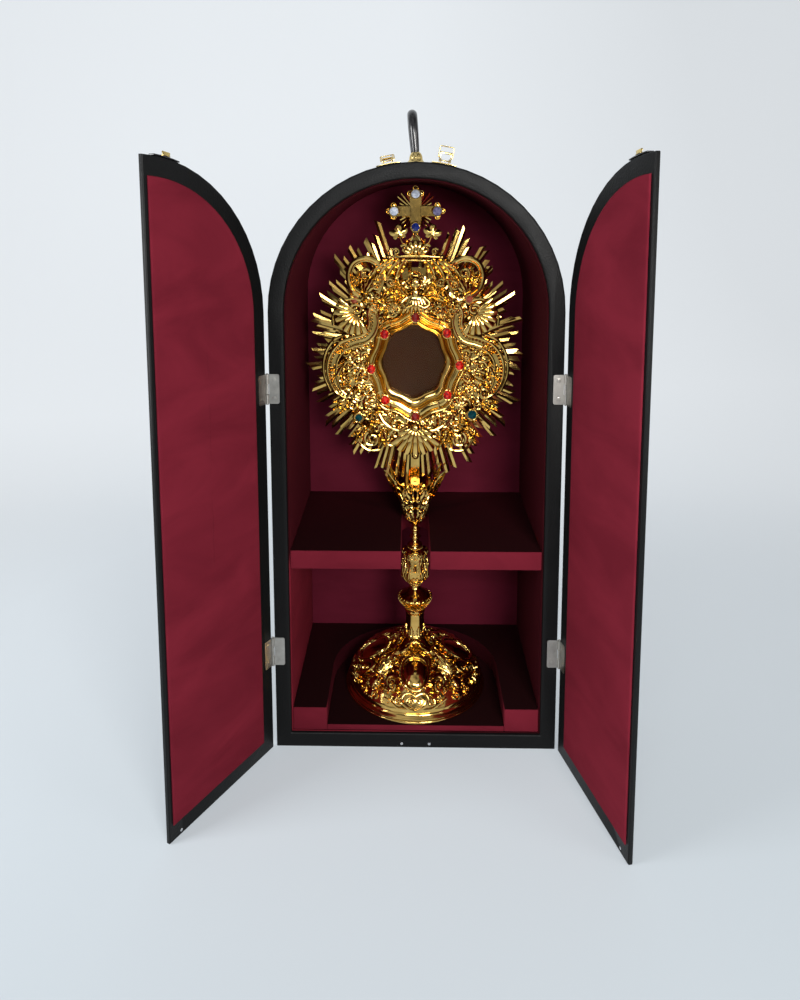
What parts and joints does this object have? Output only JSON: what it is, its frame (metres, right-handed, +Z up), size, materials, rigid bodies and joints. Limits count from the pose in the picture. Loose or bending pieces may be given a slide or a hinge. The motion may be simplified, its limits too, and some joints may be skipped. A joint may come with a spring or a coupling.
{
  "type": "monstrance case",
  "caption": "Arched case with two curved-top doors, a bail handle and a velvet interior that holds a sunburst monstrance upright.",
  "frame": {"origin": "middle of the case's footprint, on the face that it stands on", "axes": "+Z up, +Y to the back of the case, +X to the right as seen from the front"},
  "size_m": [0.5195, 0.4066, 0.8408],
  "materials": {
    "leatherette": "black grained leatherette over a wooden body",
    "velvet": "crimson velvet",
    "nickel": "nickel-plated steel",
    "brass": "polished brass",
    "gold": "chased and gold-plated brass, polished",
    "black": "black lacquer, half gloss",
    "steel": "bright magnet face",
    "glass": "clear pane"
  },
  "bodies": {
    "case": {"case_shell": "leatherette", "back_panel": "leatherette", "wall_lining": "velvet", "back_lining": "velvet", "shelf": "velvet", "base_block": "velvet", "recess_floor": "velvet", "hinge_case_leaf_left_lower": "nickel", "hinge_pin_left_lower": "nickel", "hinge_case_leaf_left_upper": "nickel", "hinge_pin_left_upper": "nickel", "latch_plate_left": "brass", "case_magnet_left": "steel", "hinge_case_leaf_right_lower": "nickel", "hinge_pin_right_lower": "nickel", "hinge_case_leaf_right_upper": "nickel", "hinge_pin_right_upper": "nickel", "latch_plate_right": "brass", "case_magnet_right": "steel", "handle_post_front": "brass", "handle_post_rear": "brass"},
    "left_door": {"door_panel_left": "leatherette", "door_pad_left": "velvet", "hinge_door_leaf_left_lower": "nickel", "hinge_door_leaf_left_upper": "nickel", "keeper_plate_left": "black", "keeper_hook_left": "brass", "door_magnet_left": "steel"},
    "right_door": {"door_panel_right": "leatherette", "door_pad_right": "velvet", "hinge_door_leaf_right_lower": "nickel", "hinge_door_leaf_right_upper": "nickel", "keeper_plate_right": "black", "keeper_hook_right": "brass", "door_magnet_right": "steel"},
    "handle": {"handle_bail": "black"},
    "left_lever": {"latch_lever_left": "brass"},
    "left_loop": {"latch_loop_left": "brass"},
    "right_lever": {"latch_lever_right": "brass"},
    "right_loop": {"latch_loop_right": "brass"},
    "monstrance": {"foot_rim": "gold", "foot_dome": "gold", "tie_rod": "gold", "stem_shaft": "gold", "stem_knop": "gold", "stem_baluster": "gold", "stem_collar": "gold", "stem_calyx": "gold", "sunburst": "gold", "wreath": "gold", "luna_frame": "gold", "cross": "gold", "luna_glass_front": "glass"},
    "luna_door": {"luna_door": "gold", "luna_glass_rear": "glass"}
  },
  "joints": [
    {"name": "left_door_hinge", "type": "hinge", "parent": "case", "child": "left_door", "pos_m": [-0.1872, -0.11275, 0], "axis": [0, 0, -1], "range_deg": [-119, 86]},
    {"name": "right_door_hinge", "type": "hinge", "parent": "case", "child": "right_door", "pos_m": [0.1872, -0.11275, 0], "axis": [0, 0, 1], "range_deg": [-103.5, 101.5]},
    {"name": "monstrance_slide", "type": "slide", "parent": "case", "child": "monstrance", "axis": [0, -1, 0], "range_m": [0, 0.3]},
    {"name": "luna_door_hinge", "type": "hinge", "parent": "monstrance", "child": "luna_door", "pos_m": [0.0616, -0.003, 0.4973], "axis": [0, 0, -1], "range_deg": [0, 55]},
    {"name": "handle_swing", "type": "hinge", "parent": "case", "child": "handle", "pos_m": [0, 0, 0.779], "axis": [0, 1, 0], "range_deg": [-80, 90]},
    {"name": "left_lever_pivot", "type": "hinge", "parent": "case", "child": "left_lever", "pos_m": [-0.03477, -0.107, 0.77098], "axis": [0.983, 0, 0.1838], "range_deg": [-22, 125]},
    {"name": "left_loop_pivot", "type": "hinge", "parent": "left_lever", "child": "left_loop", "pos_m": [-0.03505, -0.10374, 0.77247], "axis": [-0.983, 0, -0.1838], "range_deg": [-160, 37]},
    {"name": "right_lever_pivot", "type": "hinge", "parent": "case", "child": "right_lever", "pos_m": [0.03477, -0.107, 0.77098], "axis": [0.983, 0, -0.1838], "range_deg": [-87, 60]},
    {"name": "right_loop_pivot", "type": "hinge", "parent": "right_lever", "child": "right_loop", "pos_m": [0.03543, -0.107, 0.77452], "axis": [-0.983, 0, 0.1838], "range_deg": [-110, 105]}
  ]
}
